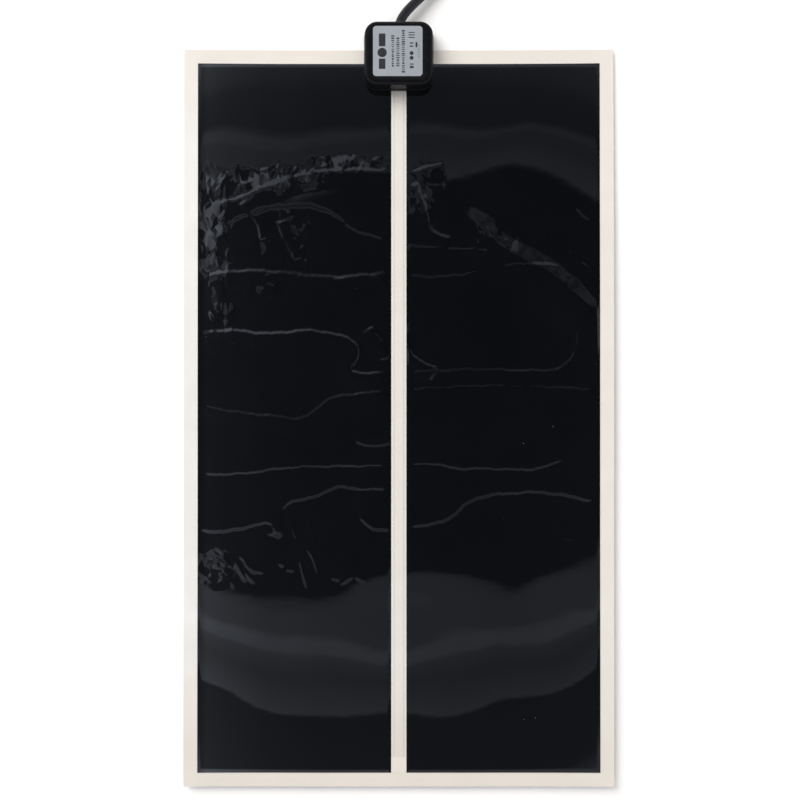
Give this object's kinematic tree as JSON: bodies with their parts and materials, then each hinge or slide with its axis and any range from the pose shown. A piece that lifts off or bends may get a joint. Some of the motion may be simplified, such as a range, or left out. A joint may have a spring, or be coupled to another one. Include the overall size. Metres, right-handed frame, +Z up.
{
  "type": "seedling heat mat",
  "caption": "Flat laminated heating mat with two black heating panels, a terminal box on one short edge and a coiled mains cord with a two-pin plug.",
  "frame": {"origin": "centre of the mat's underside", "axes": "+Y along the mat towards the terminal box, +X across the mat to the right, +Z up out of the glossy face"},
  "size_m": [0.28, 0.679, 0.0253],
  "materials": {
    "white_film": "satin",
    "clear_film": "gloss",
    "carbon_film": "satin",
    "copper_foil": "satin",
    "white_tape": "satin",
    "brass_parts": "satin",
    "foam_pad": "matte",
    "box_plastic": "satin",
    "soft_rubber": "matte",
    "label_film": "satin",
    "screw_steel": "satin",
    "cutoff_case": "satin",
    "sleeve_film": "satin",
    "cord_pvc": "satin",
    "brown_insulation": "satin",
    "blue_insulation": "satin",
    "plug_pvc": "satin",
    "insert_plastic": "satin",
    "nickel_pins": "gloss"
  },
  "bodies": {
    "mat": {"back_film": "white_film", "top_film": "clear_film", "heating_panel_left": "carbon_film", "heating_panel_right": "carbon_film", "bus_bar_top": "copper_foil", "bus_bar_bottom": "copper_foil", "return_strip": "copper_foil", "centre_tape": "white_tape", "joint_patch": "white_tape", "terminal_eyelets": "brass_parts", "terminal_tags": "brass_parts", "box_adhesive_pad": "foam_pad", "box_base": "box_plastic", "box_cover": "box_plastic", "cover_seal": "soft_rubber", "rating_label": "label_film", "cover_screws": "screw_steel", "cord_grommet": "soft_rubber", "cord_clamp": "box_plastic", "clamp_screws": "screw_steel", "thermal_cutoff": "cutoff_case", "cutoff_sleeve": "sleeve_film", "crimp_splice": "brass_parts"},
    "cord": {"cord_sheath": "cord_pvc", "core_brown": "brown_insulation", "core_blue": "blue_insulation"},
    "plug": {"plug_body": "plug_pvc", "plug_insert": "insert_plastic", "plug_pins": "nickel_pins"}
  },
  "joints": [
    {"name": "cord_swing", "type": "hinge", "parent": "mat", "child": "cord", "pos_m": [0.0006, 0.2558, 0.0075], "axis": [0, 0, 1], "range_deg": [-25, 25], "deforming": ["cord_sheath", "core_brown", "core_blue"]},
    {"name": "plug_swing", "type": "hinge", "parent": "cord", "child": "plug", "pos_m": [-0.02, 0.413, 0.01265], "axis": [0, 0, 1], "range_deg": [-40, 40], "deforming": ["cord_sheath", "core_brown", "core_blue"]}
  ]
}
